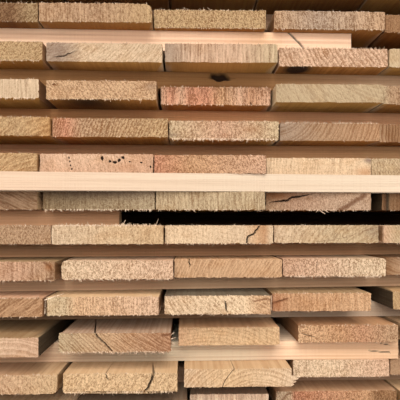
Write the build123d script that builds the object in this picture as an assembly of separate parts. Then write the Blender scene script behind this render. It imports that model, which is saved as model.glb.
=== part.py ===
from build123d import *
from dataclasses import dataclass
import os

# A stickered stack of rough sawn boards, laid flat in courses for drying.
# Its boards run along Y, with the ends that face the viewer at the low Y side.
# X goes to the right along a course, Z goes up, and the lowest boards lie on Z = 0.

# Driving dimensions, in millimetres
BOARD_LENGTH = 2440
BOARD_WIDTH = 152
BOARD_THICKNESS = 25
STICKER_WIDTH = 40
STICKER_THICKNESS = 25
STICKER_REACH = 14
STICKER_LINES = 5
LAST_STICKER_INSET = 70
# Lengths of the three near stickers that stop short of the right side
LONG_OFFCUT = 826
MIDDLE_OFFCUT = 755
SHORT_OFFCUT = 426
# A plank used as a sticker is this wide
PLANK_STICKER_WIDTH = 180


@dataclass
class Course:
    """One layer of boards, with its values listed from the left board to the right one"""

    # Left side of the first board, from the nominal left side of the stack
    start: float
    # Gaps between neighbouring boards at the near end
    gaps: tuple
    # What each board is wider than the nominal width
    extra_widths: tuple
    # How far each near end lies behind the nominal end of the stack
    setbacks: tuple


@dataclass
class FrontSticker:
    """The sticker at the near end, laid by hand and so a little askew"""

    # Its front edge behind the nominal end of the stack, at its left and right ends
    left: float
    right: float
    # What it is thicker than the nominal sticker, as are all stickers of its layer
    extra_thickness: float = 0
    # Its own length, where it is a short piece that leaves the right side open
    length: float = None
    width: float = STICKER_WIDTH


# The courses, from the floor up
COURSES = [
    Course(8, (1, 3, 2, 4, 2, 2), (0, 1, -1, 2, 0, 1, 0), (0, 6, 14, 20, 36, 52, 58)),
    Course(4, (2, 2, 3, 5, 3, 1), (0, 1, -2, 0, 2, -1, 0), (12, 4, -6, 28, 44, 70, 62)),
    Course(30, (1, 2, 4, 13, 4, 2), (0, 2, 4, -36, 31, 0, 0), (6, 0, 10, 90, 105, 95, 80)),
    Course(17, (1, 6, 9, 11, 5, 2), (0, 0, 2, -2, -9, 0, 0), (4, -8, 0, 26, 88, 100, 90)),
    Course(-2, (1, 20, 10, 30, 9, 2), (0, 0, -2, -8, -6, 0, 0), (-15, -35, 2, 50, 68, 40, 55)),
    Course(0, (1, 3, 7, 5, 36, 2), (0, -2, -1, -6, -11, 0, 0), (-2, -10, 3, 12, 42, 58, 66)),
    Course(13, (1, 6, 1, 4, 6, 2), (0, 0, 0, 0, -2, 0, 0), (10, -5, 15, 40, 62, 85, 75)),
    Course(6, (1, 1, 1, 4, 5, 1), (0, 0, -1, 0, -1, 0, 1), (0, 8, 8, 34, 58, 50, 64)),
    Course(-14, (1, 8, 1, 4, 20, 2), (0, 0, 0, -1, -2, 0, 0), (5, 15, 15, 20, 46, 62, 52)),
    Course(-8, (1, 1, 1, 5, 2, 1), (0, -2, 1, 2, 0, 0, 0), (-4, -5, 8, 18, 60, 66, 72)),
    Course(8, (1, 1, 1, 4, 2, 3), (0, -2, 5, 1, -8, 0, 2), (2, 0, 12, 32, 50, 62, 45)),
    Course(-8, (1, 8, 4, 4, 3, 2), (0, 0, -3, 4, -2, 1, 0), (-6, -3, 5, 48, 20, 33, 50)),
    Course(-3, (1, 4, 3, 4, 2, 2), (0, 0, 4, 1, 1, 0, -1), (6, -3, 2, 0, 22, 22, 40)),
    Course(-11, (1, 2, 1, 12, 4, 2), (0, 0, 0, 4, 4, 0, 0), (8, 5, 3, 30, 30, 44, 35)),
    Course(10, (2, 3, 2, 2, 3, 2), (0, 0, -2, -28, 2, 0, 0), (-8, 2, 6, 14, 26, 38, 30)),
    Course(-4, (2, 1, 3, 1, 2, 2), (0, -2, 3, 0, 1, -1, 0), (10, -6, 4, 22, 30, 48, 35)),
]

# The near stickers, from the one on the lowest course up
FRONT_STICKERS = [
    FrontSticker(60, 52),
    FrontSticker(70, 95),
    FrontSticker(160, 190),
    FrontSticker(77, 93, extra_thickness=4, length=LONG_OFFCUT, width=PLANK_STICKER_WIDTH),
    FrontSticker(131, 182, extra_thickness=-1),
    FrontSticker(53, 191, extra_thickness=-2),
    FrontSticker(87, 229, extra_thickness=-2),
    FrontSticker(50, 62, extra_thickness=-3, length=SHORT_OFFCUT),
    FrontSticker(-51, 82),
    FrontSticker(104, 130, extra_thickness=-1),
    FrontSticker(75, 131),
    FrontSticker(40, 95),
    FrontSticker(31, 52, extra_thickness=4, length=MIDDLE_OFFCUT),
    FrontSticker(76, 177),
    FrontSticker(45, 70),
]

# Small irregularities of sawing and stacking, which repeat through the stack
LENGTH_TRIMS = (0, 6, -4, 9, 3, -7, 5)
END_SKEWS = (0, 1.5, -1, 2, -0.5, 1, 0.5)
COURSE_DRIFTS = (3, -4, 6, 0, -5, 2, 5, -2)
STICKER_SHIFTS = (4, -6, 9, -3, 0, 7, -8)
STICKER_TURNS = (-5, 8, 2, -9, 4)
PATTERN_STEP = 3


def pick(pattern, course_index, piece_index):
    """The value of a repeating pattern for one piece of one course"""
    return pattern[(course_index * PATTERN_STEP + piece_index) % len(pattern)]


def course_heights():
    """Height of the underside of each course"""
    heights = [0]
    for sticker in FRONT_STICKERS:
        rise = BOARD_THICKNESS + STICKER_THICKNESS + sticker.extra_thickness
        heights.append(heights[-1] + rise)
    return heights


def prism(plan, height, thickness):
    """Upright solid on a plan outline"""
    face = Face(Wire.make_polygon([Vector(x, y, height) for x, y in plan], close=True))
    return Solid.extrude(face, Vector(0, 0, thickness))


def board_sides(course, drift):
    """Left side of each board at the nominal near end and at the nominal far end, with its width"""
    # At the far end the same slack is shared evenly between the boards
    even_gap = sum(course.gaps) / len(course.gaps)
    near = course.start
    far = course.start + drift
    sides = []
    for extra, gap in zip(course.extra_widths, course.gaps + (0,)):
        width = BOARD_WIDTH + extra
        sides.append((near, far, width))
        near += width + gap
        far += width + even_gap
    return sides


def board_plan(side, setback, skew, length):
    """Plan outline of one board"""
    near, far, width = side
    lean = (far - near) / BOARD_LENGTH
    near_left = setback - skew / 2
    near_right = setback + skew / 2
    far_left = setback + length + skew / 2
    far_right = setback + length - skew / 2
    return [
        (near + lean * near_left, near_left),
        (near + width + lean * near_right, near_right),
        (near + width + lean * far_right, far_right),
        (near + lean * far_left, far_left),
    ]


def make_boards(index, height):
    """All boards of one course, as separate solids"""
    course = COURSES[index]
    drift = COURSE_DRIFTS[index % len(COURSE_DRIFTS)]
    boards = []
    for column, side in enumerate(board_sides(course, drift)):
        length = BOARD_LENGTH + pick(LENGTH_TRIMS, index, column)
        skew = pick(END_SKEWS, index, column)
        plan = board_plan(side, course.setbacks[column], skew, length)
        boards.append(prism(plan, height, BOARD_THICKNESS))
    return boards


def stack_side(index, along):
    """Left and right limits of the two courses that a sticker lies between"""
    lefts = []
    rights = []
    for neighbour in (index, index + 1):
        sides = board_sides(COURSES[neighbour], COURSE_DRIFTS[neighbour % len(COURSE_DRIFTS)])
        share = along / BOARD_LENGTH
        first_near, first_far, _ = sides[0]
        last_near, last_far, last_width = sides[-1]
        lefts.append(first_near + (first_far - first_near) * share)
        rights.append(last_near + (last_far - last_near) * share + last_width)
    return min(lefts), max(rights)


def make_sticker(index, left_front, right_front, bottom, width=STICKER_WIDTH, length=None):
    """One sticker across the stack, on the course of this index"""
    left, right = stack_side(index, (left_front + right_front) / 2)
    left -= STICKER_REACH
    right = left + length if length else right + STICKER_REACH
    thickness = STICKER_THICKNESS + FRONT_STICKERS[index].extra_thickness
    plan = [
        (left, left_front),
        (right, right_front),
        (right, right_front + width),
        (left, left_front + width),
    ]
    return prism(plan, bottom, thickness)


def make_front_sticker(index, bottom):
    """The sticker nearest the viewer on one course"""
    place = FRONT_STICKERS[index]
    return make_sticker(index, place.left, place.right, bottom, place.width, place.length)


def make_inner_sticker(line, index, bottom):
    """One sticker of a line further back, counted from the near line as zero"""
    last_line = BOARD_LENGTH - LAST_STICKER_INSET
    along = last_line * line / (STICKER_LINES - 1) + pick(STICKER_SHIFTS, index, line)
    turn = pick(STICKER_TURNS, index, line)
    return make_sticker(index, along - turn / 2, along + turn / 2, bottom)


def build_nodes():
    """Every named node with its solids, before the stack is centred"""
    nodes = {}
    heights = course_heights()
    for index, height in enumerate(heights):
        nodes[f"boards_{index + 1:02d}"] = make_boards(index, height)
    for index in range(len(FRONT_STICKERS)):
        bottom = heights[index] + BOARD_THICKNESS
        nodes[f"front_sticker_{index + 1:02d}"] = [make_front_sticker(index, bottom)]
    for line in range(1, STICKER_LINES):
        nodes[f"sticker_line_{line + 1}"] = [
            make_inner_sticker(line, index, heights[index] + BOARD_THICKNESS)
            for index in range(len(FRONT_STICKERS))
        ]
    return nodes


def main():
    nodes = build_nodes()
    box = Compound([solid for solids in nodes.values() for solid in solids]).bounding_box()
    centre = box.center()
    # The origin is at the middle of the footprint, on the floor
    placing = Pos(-centre.X, -centre.Y, -box.min.Z)
    print("nominal corner of the stack", round(-centre.X, 2), round(-centre.Y, 2))
    print("size", [round(value, 1) for value in box.size])
    os.makedirs("parts", exist_ok=True)
    for name, solids in nodes.items():
        export_step(placing * Compound(solids), f"parts/{name}.step")


main()
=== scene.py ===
import math
from dataclasses import dataclass
from functools import reduce

import bmesh
import bpy
import numpy as np
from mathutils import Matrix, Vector
from mathutils.geometry import delaunay_2d_cdt


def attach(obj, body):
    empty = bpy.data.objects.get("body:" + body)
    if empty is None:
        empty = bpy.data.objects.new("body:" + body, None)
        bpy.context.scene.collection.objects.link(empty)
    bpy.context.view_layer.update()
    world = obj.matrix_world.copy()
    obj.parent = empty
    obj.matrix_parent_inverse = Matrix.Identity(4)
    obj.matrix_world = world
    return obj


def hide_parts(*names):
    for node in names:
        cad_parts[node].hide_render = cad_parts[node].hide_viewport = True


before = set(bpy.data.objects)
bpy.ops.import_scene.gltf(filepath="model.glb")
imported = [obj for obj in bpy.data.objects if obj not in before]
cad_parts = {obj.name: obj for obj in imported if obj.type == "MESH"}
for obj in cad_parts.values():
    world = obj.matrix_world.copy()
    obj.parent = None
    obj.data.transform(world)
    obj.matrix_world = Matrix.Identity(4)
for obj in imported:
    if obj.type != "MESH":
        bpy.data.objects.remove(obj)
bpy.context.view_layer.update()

MM = 0.001
BODY = "root"
COURSES = 16
BOARDS = 7
LINES = 5
GAMMA = 2.2
# How near to a side of a piece, in metres, a point counts as on it
SKIN = 1e-5

# Tones of sawn wood, in sRGB from 0 to 1
TONES = {
    "ivory": (0.96, 0.87, 0.76),
    "milk": (0.96, 0.84, 0.72),
    "pale": (0.91, 0.78, 0.63),
    "cream": (0.87, 0.74, 0.60),
    "gold": (0.86, 0.71, 0.54),
    "sand": (0.81, 0.69, 0.54),
    "straw": (0.77, 0.62, 0.45),
    "amber": (0.84, 0.67, 0.51),
    "pink": (0.85, 0.69, 0.56),
    "rose": (0.82, 0.64, 0.51),
    "tan": (0.75, 0.59, 0.45),
    "orange": (0.79, 0.60, 0.44),
    "coral": (0.80, 0.56, 0.43),
    "russet": (0.76, 0.56, 0.42),
    "brown": (0.64, 0.47, 0.33),
    "umber": (0.50, 0.35, 0.24),
    "olive": (0.66, 0.54, 0.40),
    "mauve": (0.72, 0.60, 0.50),
    "greyed": (0.60, 0.51, 0.42),
    "slate": (0.45, 0.40, 0.33),
    "ochre": (0.70, 0.52, 0.33),
    "honey": (0.79, 0.60, 0.40),
    "soot": (0.30, 0.25, 0.19),
}
# Painted shade on the undersides, which makes them darker and warmer than the other faces, in linear light
UNDER_SHADE_TINT = (0.84, 0.61, 0.26)
# Painted shade on the sides in the gaps between boards, from a little way back
GAP_SHADE_TINT = (0.42, 0.33, 0.24)
GAP_SHADE_START = 8 * MM


@dataclass
class Crack:
    """A drying crack in the end: points in mm from the board's left and underside, as the camera sees it"""

    points: tuple
    width: float = 1.5
    depth: float = 9
    # How far it runs back along the top face in mm, and how far to the right it gets there
    run: float = 4
    drift: float = 0
    # How dark it is painted: 1 for the painted shade in an open crack, less for a stained line
    dark: float = 1.0


@dataclass
class Hole:
    """A hole in the end, left by an insect or a knot: its middle and half sizes in mm"""

    x: float
    z: float
    wide: float
    high: float
    depth: float = 6
    # A knot is filled with darker wood
    knot: bool = False


@dataclass
class Chip:
    """A corner of the end that is broken off, and how far back it goes, in mm"""

    right: bool
    top: bool
    wide: float
    high: float
    run: float = 25


@dataclass
class Sliver:
    """A torn fibre that stands off the end: its foot, its reach to the right and up, and its width, in mm"""

    x: float
    z: float
    reach_x: float
    reach_z: float
    wide: float = 1.0
    # How much paler it is than the wood that it stands on
    pale: float = 0.6


@dataclass
class Patch:
    """A stain: its middle and half sizes in mm, and its strength"""

    x: float
    z: float
    wide: float
    high: float
    strength: float = 0.6


@dataclass
class Streak:
    """A soft brown streak beside a knot: a path through points in mm, its half width, and its strength"""

    points: tuple
    wide: float = 2.0
    strength: float = 0.6


@dataclass
class Look:
    """How one board or sticker looks"""

    # Tones at places in mm across a board or along a sticker; the first and last go on to the ends
    tones: str
    shade: float = 1.0
    top: str = ""
    # A tone for both long sides, which paints the light and shade seen in the gaps, in place of the gap shade
    side: str = ""
    # Heart of the tree from the middle of the end, and the width of a ring, in mm
    heart: tuple = (40, 60)
    ring: float = 4.0
    # Strength of the rings and of the speckle that a blunt saw leaves
    rings: float = 0.4
    speckle: float = 0.6
    # Strength of the saw's stripes, and how far they lean to the right, in degrees
    saw: float = 0.3
    lean: float = 0
    # How much the lower and upper edges are torn, and how weathered the long faces are
    torn_low: float = 0.3
    torn_high: float = 0.2
    worn: float = 0.3
    cracks: tuple = ()
    holes: tuple = ()
    chips: tuple = ()
    slivers: tuple = ()
    # Grey and warm patches on the end: mostly stains, and on course 9 painted shade
    greys: tuple = ()
    warms: tuple = ()
    streaks: tuple = ()
    # Dark patches on the underside, from stains and from painted shade: x and distance back instead of z
    under: tuple = ()
    # Cracks and a hole on the face of a sticker: distance along and height instead of x and z
    face_cracks: tuple = ()
    face_holes: tuple = ()


def stick_look(tones, shade=1.0, **changes):
    """A look for a sticker that is cleaner cut than the boards"""
    return Look(tones, shade, **{"speckle": 0.1, "worn": 0.1, **changes})


# The boards that the photo shows, by course from the floor up and by number from the left
LOOKS = {
    (14, 2): Look(
        "118 brown, 140 straw", 0.86, heart=(120, -90), ring=6, rings=0.6, speckle=0.9, saw=0.5, lean=50,
        torn_high=0.6,
    ),
    (14, 3): Look(
        "80 tan, 150 straw", 0.98, heart=(120, 60), ring=5, rings=0.2, saw=0.9, torn_high=0.35,
        chips=(Chip(True, True, 4, 5, 70),),
    ),
    (14, 4): Look(
        "straw", 0.98, heart=(-30, -160), rings=0.15, speckle=1.25, torn_low=0.5, torn_high=0.5,
        slivers=(Sliver(150, 23, 5, 2.5, 1.5), Sliver(151, 21, 4, -2, 1.2)),
    ),
    (14, 5): Look(
        "0 tan, 60 mauve, 152 tan", heart=(0, 200), rings=0.2, speckle=1.0, saw=1.1, lean=-6, torn_low=0.6,
    ),
    (14, 6): Look("brown", heart=(200, 30), rings=0.5),
    (13, 2): Look(
        "straw", 0.97, side="brown", heart=(120, -120), rings=0.25, speckle=0.95, saw=0.4, lean=35,
        torn_low=0.9,
    ),
    (13, 3): Look(
        "18 mauve, 48 cream", 0.98, heart=(-90, 130), ring=4.2, rings=0.32, speckle=0.4, saw=0.4, lean=42,
        torn_low=0.05, cracks=(Crack(((6, 5), (12, 6), (23.6, 7.3), (41.8, 15.4)), 2.0, 8),),
        greys=(Patch(20, 12, 22, 12, 0.25),),
    ),
    (13, 4): Look(
        "0 mauve, 40 pink, 100 pink, 152 sand", 0.96, heart=(150, 30), rings=0.1, speckle=0.3, saw=1.0,
        torn_low=0.05, torn_high=0.3,
    ),
    (13, 5): Look(
        "pink", heart=(140, 90), ring=6.5, rings=0.75, speckle=0.7, lean=-30, torn_low=0.2, torn_high=0.9,
        under=(Patch(29, 22, 19, 32, 1.7),),
    ),
    (13, 6): Look("sand", rings=0.2, speckle=0.3),
    (12, 2): Look(
        "cream", 0.97, side="umber", heart=(-80, 160), rings=0.1, speckle=0.25, saw=0.7, torn_low=1.3,
    ),
    (12, 3): Look(
        "amber", 0.96, heart=(90, -80), ring=5, rings=0.3, speckle=0.8, lean=-35, torn_low=0.6,
        holes=(Hole(11.2, 19.4, 2.4, 1.7, 2, True),), greys=(Patch(141, 18, 8, 4, 0.5),),
        under=(Patch(52, 25, 42, 70, 1.0),),
    ),
    (12, 4): Look(
        "0 rose, 14 coral, 30 rose, 40 coral, 66 coral, 86 orange, 112 rose, 128 russet, 152 rose", 1.02,
        heart=(0, -250), rings=0.1, speckle=1.2, saw=1.6, torn_low=0.5, torn_high=0.5,
        cracks=(Crack(((129, 0), (127, 5)), 1.6, 6),),
    ),
    (12, 5): Look(
        "sand", 0.96, side="sand", heart=(90, 110), ring=6, rings=0.3, speckle=0.3, saw=0.5, lean=-25,
        torn_low=0.05,
    ),
    (12, 6): Look("0 sand, 12 tan", 0.95, rings=0.3, speckle=0.9),
    (11, 2): Look("110 straw, 152 honey", heart=(90, -70), ring=9, rings=0.6, lean=45, torn_high=0.5),
    (11, 3): Look(
        "0 russet, 18 coral, 40 tan, 152 straw", heart=(190, -80), ring=4.4, rings=0.9, speckle=0.8,
        saw=0.4, lean=25, torn_low=0.15,
    ),
    (11, 4): Look(
        "0 sand, 75 rose, 152 sand", heart=(0, -50), ring=5, rings=0.35, speckle=0.9, saw=0.2, torn_low=2.4,
        greys=(Patch(6, 5, 9, 3, 0.5),), warms=(Patch(114, 14, 16, 5, 0.4), Patch(79, 6, 4, 2.5, 0.4)),
    ),
    (11, 5): Look(
        "0 mauve, 60 tan, 152 orange", 0.97, heart=(-80, 45), ring=5.5, rings=0.7, speckle=0.35,
        torn_low=0.1, torn_high=1.3,
    ),
    (11, 6): Look("0 tan, 20 brown", heart=(220, 0), ring=5, rings=1.0, speckle=0.3),
    (10, 2): Look("straw", 1.05, heart=(90, -90), ring=6, rings=0.6, saw=0.4, lean=40),
    (10, 3): Look(
        "100 pink, 152 rose", 1.02, heart=(100, 200), rings=0.15, speckle=0.45, saw=0.5, lean=-12,
        warms=(Patch(110, 8, 20, 6, 0.3),),
        holes=(
            Hole(39.4, 20, 1.1, 1.6, 5), Hole(40.4, 15, 1.2, 1.8, 5), Hole(41.6, 9.5, 1.2, 1.7, 5),
            Hole(43.2, 4.6, 1.2, 1.6, 5), Hole(84.2, 19, 2.2, 3.6, 6), Hole(94.5, 15.2, 2.0, 1.9, 6),
            Hole(101.2, 14, 3.4, 2.3, 6), Hole(107, 17, 2.4, 2.5, 6), Hole(112, 20.4, 2.6, 2.2, 6),
            Hole(121.4, 14.8, 1.4, 1.3, 5), Hole(137, 13.8, 1.9, 1.2, 5), Hole(149.5, 8, 1.2, 1.8, 5),
        ),
    ),
    (10, 4): Look("0 coral, 50 orange, 152 rose", heart=(60, -120), rings=0.2, speckle=1.0, lean=-30),
    (10, 5): Look(
        "pale", heart=(0, 250), rings=0.1, speckle=0.35, saw=0.5, lean=3,
        greys=(Patch(149, 22, 7, 4, 0.9),), warms=(Patch(143, 5, 12, 7, 0.6),),
    ),
    (10, 6): Look("sand", speckle=0.5, saw=0.5),
    # Shades below 1 on course 9 paint the shadow of the jutting sticker above it
    (9, 2): Look(
        # The gold sides paint light into the gap beside the board
        "0 russet, 152 tan", 0.88, side="gold", heart=(110, 170), rings=0.5, speckle=0.3, saw=1.1, lean=-62,
    ),
    (9, 3): Look(
        "0 olive, 152 sand", 0.87, heart=(0, 200), rings=0.15, saw=0.7, torn_low=1.2,
        # The grey patch along the top paints the shadow of the sticker above
        greys=(Patch(70, 27, 110, 11, 0.9),),
    ),
    (9, 4): Look("sand", 0.95, heart=(200, 40), ring=9, speckle=0.5, saw=1.1, torn_low=0.7),
    (9, 5): Look(
        "0 tan, 40 rose, 100 pink", 0.89, heart=(60, 120), rings=0.25, torn_low=0.7,
        cracks=(
            Crack(
                ((0.8, 8), (5, 11), (15, 12), (31, 13.6), (37, 18), (49, 19.2), (60, 22), (70, 24)), 4.0, 14,
            ),
        ),
        # Brown stain above the crack, deepened with painted shade
        warms=(Patch(14, 21, 26, 7, 0.9),),
        streaks=(Streak(((105, 0), (117, 6), (129, 14), (141, 21)), 4.5, 0.58),),
        slivers=(Sliver(75, 0.5, 9, -6, 1.8), Sliver(74, 0.5, -3, -4, 1.4), Sliver(83, 0.5, 6, -4, 1.4)),
    ),
    (9, 6): Look(
        # The soot sides paint the shade in the gap beside the board
        "0 brown, 5 umber, 8 soot, 12 brown", 0.9, side="soot", heart=(200, 0), rings=0.6, speckle=0.4,
    ),
    (8, 2): Look("tan", 0.96, heart=(0, -100), rings=0.2, speckle=0.9, torn_high=0.5),
    (8, 3): Look(
        "0 cream, 152 gold", 0.97, heart=(-60, 160), rings=0.2, speckle=0.5, saw=0.4, torn_high=1.8,
        slivers=(Sliver(93, 24, 3, 5, 1.6), Sliver(95, 24, 5, 9, 1.2), Sliver(100, 24, -4, 4, 1.4)),
    ),
    (8, 4): Look(
        "0 pale, 110 cream, 128 amber, 140 orange, 148 cream", heart=(60, 200), rings=0.15, speckle=0.4,
        saw=0.4, torn_low=0.7, torn_high=0.3,
        cracks=(Crack(((115, 0), (115.6, 6), (117, 9.5), (125, 13), (128, 18), (134, 25)), 3.4, 14),),
    ),
    (8, 5): Look(
        "0 cream, 90 sand", heart=(100, -80), ring=7, speckle=0.45,
        streaks=(Streak(((62, 2), (88, 4.7), (114, 11), (132, 17.6), (151, 23)), 1.4, 0.45),),
        greys=(Patch(144, 16, 14, 9, 0.4),),
    ),
    (8, 6): Look("0 pink, 20 sand", speckle=0.4),
    (7, 2): Look(
        "110 rose, 152 tan", 0.97, top="olive", heart=(-20, -100), rings=0.35, speckle=0.5, saw=0.8,
        torn_low=0.8,
        streaks=(
            Streak(((138, 24), (145, 20), (149, 13), (148, 7)), 2.4, 0.5),
            Streak(((140, 1), (150, 3)), 2.0, 0.6),
        ),
        warms=(Patch(145, 18, 6, 5, 0.9),),
    ),
    (7, 3): Look(
        "0 cream, 152 pink", heart=(60, -120), rings=0.15, speckle=1.0, saw=0.2, torn_low=0.9,
        torn_high=0.3, chips=(Chip(False, True, 3, 3, 30),),
    ),
    (7, 4): Look(
        "amber", heart=(190, -110), ring=4.5, rings=0.5, speckle=0.35,
        cracks=(Crack(((20.6, 13.2), (22.5, 18), (20.5, 21), (21.2, 25)), 2.0, 12, 60, 0),),
    ),
    (7, 5): Look(
        "0 rose, 60 pink, 110 cream", heart=(0, 220), rings=0.1, speckle=1.15, saw=0.4, torn_low=1.3,
        cracks=(Crack(((49, 13), (49.5, 22)), 1.2, 5),),
    ),
    (7, 6): Look("0 brown, 20 tan", heart=(0, 200), ring=5, rings=0.6, speckle=0.3),
    (6, 2): Look(
        "orange", 0.93, top="rose", heart=(100, -110), ring=5, speckle=0.4, saw=1.0, lean=52, torn_high=0.8,
    ),
    (6, 3): Look(
        "25 sand, 40 amber, 152 pink", top="gold", heart=(0, 250), rings=0.1, speckle=0.8, saw=0.8,
        torn_high=0.3, slivers=(Sliver(-4, 20.5, 27, 9, 1.6, 1.0), Sliver(-2, 2, 0.8, 18, 1.3, 1.0)),
    ),
    (6, 4): Look(
        "0 cream, 110 pale, 130 amber", top="slate", heart=(110, 110), ring=6, rings=0.45, saw=0.2,
        lean=-40, torn_low=0.6, cracks=(Crack(((82, 20), (84.6, 12), (84.4, 7), (87, 0.9)), 3.2, 11),),
        streaks=(
            Streak(((122, 17), (130, 19), (142, 21), (151, 17)), 1.8, 0.6),
            Streak(((138, 13), (146, 15), (151, 11)), 1.4, 0.45),
        ),
        greys=(Patch(10, 24, 12, 2, 0.4),),
    ),
    (6, 5): Look(
        "0 russet, 30 orange, 152 amber", 1.03, top="olive", heart=(230, 20), ring=9, rings=0.45,
        speckle=0.55, saw=0.5, torn_high=0.6,
        cracks=(
            Crack(((1, 13), (10, 14.5), (22, 18)), 1.3, 1, dark=0.7),
            Crack(((86, 1), (86.5, 19)), 0.8, 0.5, dark=0.5),
            Crack(((98, 2), (98.5, 22)), 0.8, 0.5, dark=0.4),
            Crack(((111, 2), (110, 20)), 0.8, 0.5, dark=0.35),
            Crack(((124, 4), (124, 18)), 0.8, 0.5, dark=0.3),
        ),
        streaks=(Streak(((0, 11), (10, 14), (22, 18)), 2.4, 0.55),), warms=(Patch(6, 10, 8, 9, 0.6),),
        slivers=(Sliver(-1.4, 1, 0.4, 22, 2.2),),
    ),
    (6, 6): Look("straw", side="soot", speckle=0.5),
    (5, 2): Look(
        "0 cream, 152 pink", top="olive", side="soot", heart=(40, -90), ring=6, rings=0.55, speckle=0.35,
        saw=0.05, torn_low=0.05,
    ),
    (5, 3): Look(
        "0 sand, 70 amber, 150 russet", 0.96, top="mauve", heart=(170, 210), ring=4.2, rings=0.75,
        speckle=0.5, saw=0.7, lean=-50, torn_low=1.5,
        cracks=(
            Crack(((71.6, 0), (60, 12), (52, 19), (48, 25)), 3.2, 13, 210, -24),
            Crack(((18.5, 21), (16, 25)), 1.2, 5, 20, 8),
        ),
        streaks=(Streak(((138, 22), (150, 23)), 2.2, 0.6),),
        slivers=(
            Sliver(150, 22, 5, 4, 1.2, 1.0), Sliver(151, 17, 6, 2, 1.2, 1.0),
            Sliver(151, 13, 5, -3, 1.0, 1.0), Sliver(151, 8, 5, 2, 1.2, 1.0),
            Sliver(150, 4, 4, -3, 1.0, 1.0),
        ),
    ),
    (5, 4): Look(
        "0 amber, 40 gold", 1.03, top="amber", heart=(-30, -140), ring=5, speckle=0.4, torn_low=0.1,
    ),
    (5, 5): Look(
        "0 amber, 60 orange, 95 russet, 135 tan", 1.02, top="orange", side="brown", heart=(100, -120),
        rings=0.25, speckle=1.0, saw=0.5, torn_high=0.5,
        cracks=(Crack(((1, 15), (12, 11), (27.4, 7)), 1.4, 6),),
        streaks=(Streak(((3, 24), (8, 22)), 2.4, 0.55),),
    ),
    (4, 2): Look(
        "0 rose, 152 gold", 0.97, heart=(-40, -60), ring=9, torn_high=0.5,
        chips=(Chip(True, False, 3, 5, 30),),
    ),
    (4, 3): Look(
        "gold", top="gold", heart=(-100, 200), rings=0.25, speckle=0.8, lean=30, torn_low=1.0,
        torn_high=0.3,
        cracks=(
            Crack(((61.5, 15), (57.4, 25)), 2.0, 8, 80, 2),
            Crack(((109, 0), (114.2, 4), (118.9, 14.6), (122.3, 25)), 4.4, 16, 75, -5),
        ),
    ),
    (4, 4): Look(
        "0 cream, 60 gold, 152 cream", 1.03, top="gold", heart=(30, -80), ring=5.5, rings=0.5, speckle=0.4,
        torn_low=0.1, cracks=(Crack(((53, 0), (59, 12), (69.9, 25)), 1.4, 7, 80, -2),),
        slivers=(
            Sliver(149, 2.5, 4, 0.5, 4.5, 0.25), Sliver(149, 6, 7, 1, 4.5, 0.25),
            Sliver(149, 9.5, 10, 1.5, 4.5, 0.25), Sliver(149, 13, 13, 1, 4.5, 0.25),
        ),
    ),
    (4, 5): Look("60 cream, 130 pink", 1.02, heart=(0, 200), rings=0.15, speckle=0.8, torn_low=0.5),
    (4, 6): Look("tan", heart=(0, -200), rings=0.3, speckle=0.3),
    (3, 3): Look("greyed", top="greyed"),
    (3, 4): Look("milk", 1.04, top="greyed", heart=(-200, 0), rings=0.1, speckle=0.3, saw=0.8),
    (3, 5): Look(
        "22 cream, 28 coral, 140 orange, 150 brown", top="tan", heart=(60, -140), rings=0.3, speckle=1.0,
        saw=0.6,
        streaks=(Streak(((10, 12), (16, 20), (24, 23)), 2.0, 0.6), Streak(((17, 8), (22, 15)), 1.4, 0.45)),
    ),
}

# The front stickers that differ from the plain ones, by the course under them. Shades above 1 paint light
# onto the stickers that sit back in recesses, and the ivory at the right of sticker 5 paints light there too
STICK_LOOKS = {
    13: stick_look(
        "560 milk, 640 pale, 655 milk", 1.05, heart=(30, 45), ring=7, rings=0.5, worn=0.0,
        face_cracks=(Crack(((664, 30), (681, 13.5), (692, 0)), 1.7, 5),),
    ),
    12: stick_look("250 honey, 560 ochre, 640 honey, 800 pale", face_holes=(Hole(564, 18.5, 14, 5.5, 12),)),
    11: stick_look("250 honey, 800 amber", 1.17),
    10: stick_look("250 amber, 800 straw", 1.18),
    9: stick_look("250 milk, 600 ivory", 0.93, rings=0.1, speckle=0.05, worn=0.0),
    8: stick_look("amber", 1.06),
    7: stick_look("amber", 1.22, worn=0.0),
    6: stick_look("pale", 1.1, rings=0.3, worn=0.0),
    4: stick_look(
        "240 pale, 420 ivory, 600 ivory, 720 cream", 1.08, ring=3.5, rings=0.45,
        face_cracks=(
            Crack(((782, 12.5), (800, 10.5), (826, 9)), 1.3, 3),
            Crack(((800, 23), (812, 21), (826, 20)), 1.1, 2, dark=0.7),
        ),
    ),
    5: stick_look("560 amber, 600 ivory", rings=0.3),
    3: stick_look("0 rose, 1100 cream"),
}


# Places of the pieces, read from the solids


def plan_order(plan, along_x):
    """Near left, near right, far right and far left corner, seen along the length of the piece"""
    length, across, turn = (0, 1, -1) if along_x else (1, 0, 1)
    by_length = sorted(plan, key=lambda point: point[length])
    near = sorted(by_length[:2], key=lambda point: point[across] * turn)
    far = sorted(by_length[2:], key=lambda point: point[across] * turn)
    return np.array([near[0], near[1], far[1], far[0]])


def timber_corners(node, along_x):
    """The plan corners and the low and high Z of each solid in a node, from the left or the floor up"""
    work = bmesh.new()
    work.from_mesh(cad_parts[node].data)
    bmesh.ops.remove_doubles(work, verts=work.verts, dist=1e-6)
    todo = set(work.verts)
    found = []
    while todo:
        island = []
        edge = [todo.pop()]
        while edge:
            vert = edge.pop()
            island.append(tuple(vert.co))
            for link in vert.link_edges:
                other = link.other_vert(vert)
                if other in todo:
                    todo.remove(other)
                    edge.append(other)
        low = min(point[2] for point in island)
        high = max(point[2] for point in island)
        plan = [point[:2] for point in island if point[2] < (low + high) / 2]
        found.append((plan_order(plan, along_x), low, high))
    work.free()
    return sorted(found, key=lambda item: item[1] if along_x else item[0][0][0])


# Noise, tones and paths


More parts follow.
